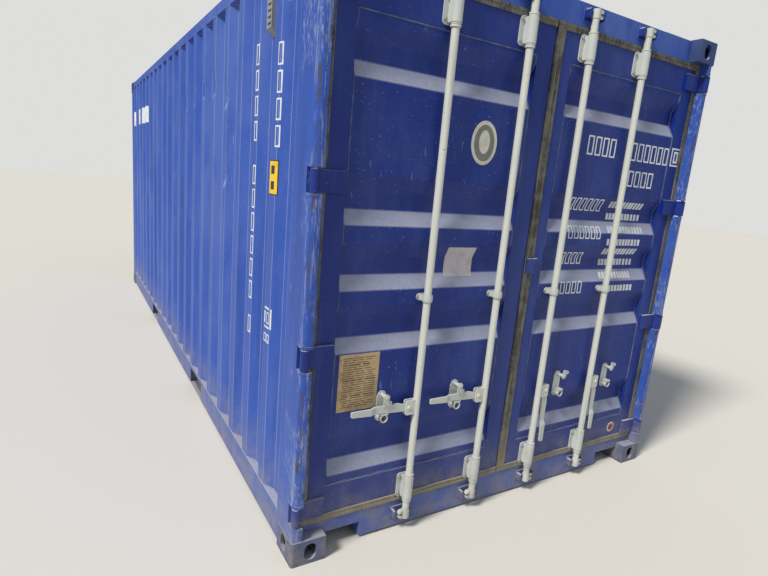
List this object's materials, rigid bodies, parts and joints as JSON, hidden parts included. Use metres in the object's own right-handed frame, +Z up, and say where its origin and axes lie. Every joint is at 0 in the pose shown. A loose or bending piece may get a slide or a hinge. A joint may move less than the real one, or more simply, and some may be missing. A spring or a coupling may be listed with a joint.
{
  "type": "20 ft dry cargo shipping container",
  "caption": "Corrugated steel shipping container with double end doors, lock rods with handles and catches, hollow corner fittings, fork pockets and a wooden floor.",
  "frame": {"origin": "middle of the footprint, on the ground", "axes": "+Z up, +Y along the container away from its doors, +X across to the right as seen when facing the doors"},
  "size_m": [2.438, 6.058, 2.591],
  "materials": {
    "container_paint": "semi-gloss, weathered",
    "gear_paint": "satin, weathered",
    "gasket_rubber": "matt",
    "underframe_paint": "matt",
    "floor_plywood": "satin",
    "vent_grey": "matt",
    "pin_steel": "satin",
    "data_plate_metal": "satin"
  },
  "bodies": {
    "frame": {"corner_fittings_bottom": "container_paint", "corner_fittings_top": "container_paint", "rear_posts": "container_paint", "front_posts": "container_paint", "bottom_side_rails": "container_paint", "top_side_rails": "container_paint", "door_sill": "container_paint", "door_header": "container_paint", "front_sill": "container_paint", "front_header": "container_paint", "cross_members": "underframe_paint", "fork_pockets": "underframe_paint", "floor": "floor_plywood", "side_wall_left": "container_paint", "side_wall_right": "container_paint", "front_wall": "container_paint", "roof": "container_paint", "roof_corner_plates": "container_paint", "vents": "vent_grey", "cam_keepers": "container_paint", "hinge_lugs": "container_paint", "hinge_pins": "pin_steel"},
    "door_left": {"door_left_frame": "container_paint", "door_left_panel": "container_paint", "door_left_gasket": "gasket_rubber", "door_left_hinge_blades": "container_paint", "door_left_rod_bearings": "gear_paint", "door_left_catches": "gear_paint", "data_plate": "data_plate_metal"},
    "door_right": {"door_right_frame": "container_paint", "door_right_panel": "container_paint", "door_right_gasket": "gasket_rubber", "door_right_hinge_blades": "container_paint", "door_right_rod_bearings": "gear_paint", "door_right_catches": "gear_paint"},
    "lock_rod_1": {"lock_rod_1": "gear_paint"},
    "handle_1": {"handle_1": "gear_paint"},
    "hasp_1": {"hasp_1": "gear_paint"},
    "lock_rod_2": {"lock_rod_2": "gear_paint"},
    "handle_2": {"handle_2": "gear_paint"},
    "hasp_2": {"hasp_2": "gear_paint"},
    "lock_rod_3": {"lock_rod_3": "gear_paint"},
    "handle_3": {"handle_3": "gear_paint"},
    "hasp_3": {"hasp_3": "gear_paint"},
    "lock_rod_4": {"lock_rod_4": "gear_paint"},
    "handle_4": {"handle_4": "gear_paint"},
    "hasp_4": {"hasp_4": "gear_paint"}
  },
  "joints": [
    {"name": "door_left_hinge", "type": "hinge", "parent": "frame", "child": "door_left", "pos_m": [-1.201, -3.01, 0], "axis": [0, 0, -1], "range_deg": [0, 258]},
    {"name": "door_right_hinge", "type": "hinge", "parent": "frame", "child": "door_right", "pos_m": [1.201, -3.01, 0], "axis": [0, 0, 1], "range_deg": [0, 258]},
    {"name": "lock_rod_1_turn", "type": "hinge", "parent": "door_left", "child": "lock_rod_1", "pos_m": [-0.62, -3.003, 1.3], "axis": [0, 0, -1], "range_deg": [-90, 0]},
    {"name": "handle_1_lift", "type": "hinge", "parent": "lock_rod_1", "child": "handle_1", "pos_m": [-0.667, -3.003, 0.658], "axis": [0, 1, 0], "range_deg": [0, 10]},
    {"name": "hasp_1_swing", "type": "hinge", "parent": "door_left", "child": "hasp_1", "pos_m": [-0.795, -3.015, 0.726], "axis": [0, 1, 0], "range_deg": [0, 165]},
    {"name": "lock_rod_2_turn", "type": "hinge", "parent": "door_left", "child": "lock_rod_2", "pos_m": [-0.2, -3.003, 1.3], "axis": [0, 0, -1], "range_deg": [-90, 0]},
    {"name": "handle_2_lift", "type": "hinge", "parent": "lock_rod_2", "child": "handle_2", "pos_m": [-0.247, -3.003, 0.658], "axis": [0, 1, 0], "range_deg": [0, 10]},
    {"name": "hasp_2_swing", "type": "hinge", "parent": "door_left", "child": "hasp_2", "pos_m": [-0.375, -3.015, 0.726], "axis": [0, 1, 0], "range_deg": [0, 165]},
    {"name": "lock_rod_3_turn", "type": "hinge", "parent": "door_right", "child": "lock_rod_3", "pos_m": [0.2, -3.003, 1.3], "axis": [0, 0, 1], "range_deg": [-90, 0]},
    {"name": "handle_3_lift", "type": "hinge", "parent": "lock_rod_3", "child": "handle_3", "pos_m": [0.247, -3.003, 0.615], "axis": [0, -1, 0], "range_deg": [0, 48]},
    {"name": "hasp_3_swing", "type": "hinge", "parent": "door_right", "child": "hasp_3", "pos_m": [0.375, -3.015, 0.683], "axis": [0, -1, 0], "range_deg": [-165, 0]},
    {"name": "lock_rod_4_turn", "type": "hinge", "parent": "door_right", "child": "lock_rod_4", "pos_m": [0.62, -3.003, 1.3], "axis": [0, 0, 1], "range_deg": [-90, 0]},
    {"name": "handle_4_lift", "type": "hinge", "parent": "lock_rod_4", "child": "handle_4", "pos_m": [0.667, -3.003, 0.615], "axis": [0, -1, 0], "range_deg": [0, 48]},
    {"name": "hasp_4_swing", "type": "hinge", "parent": "door_right", "child": "hasp_4", "pos_m": [0.795, -3.015, 0.683], "axis": [0, -1, 0], "range_deg": [-165, 0]}
  ]
}
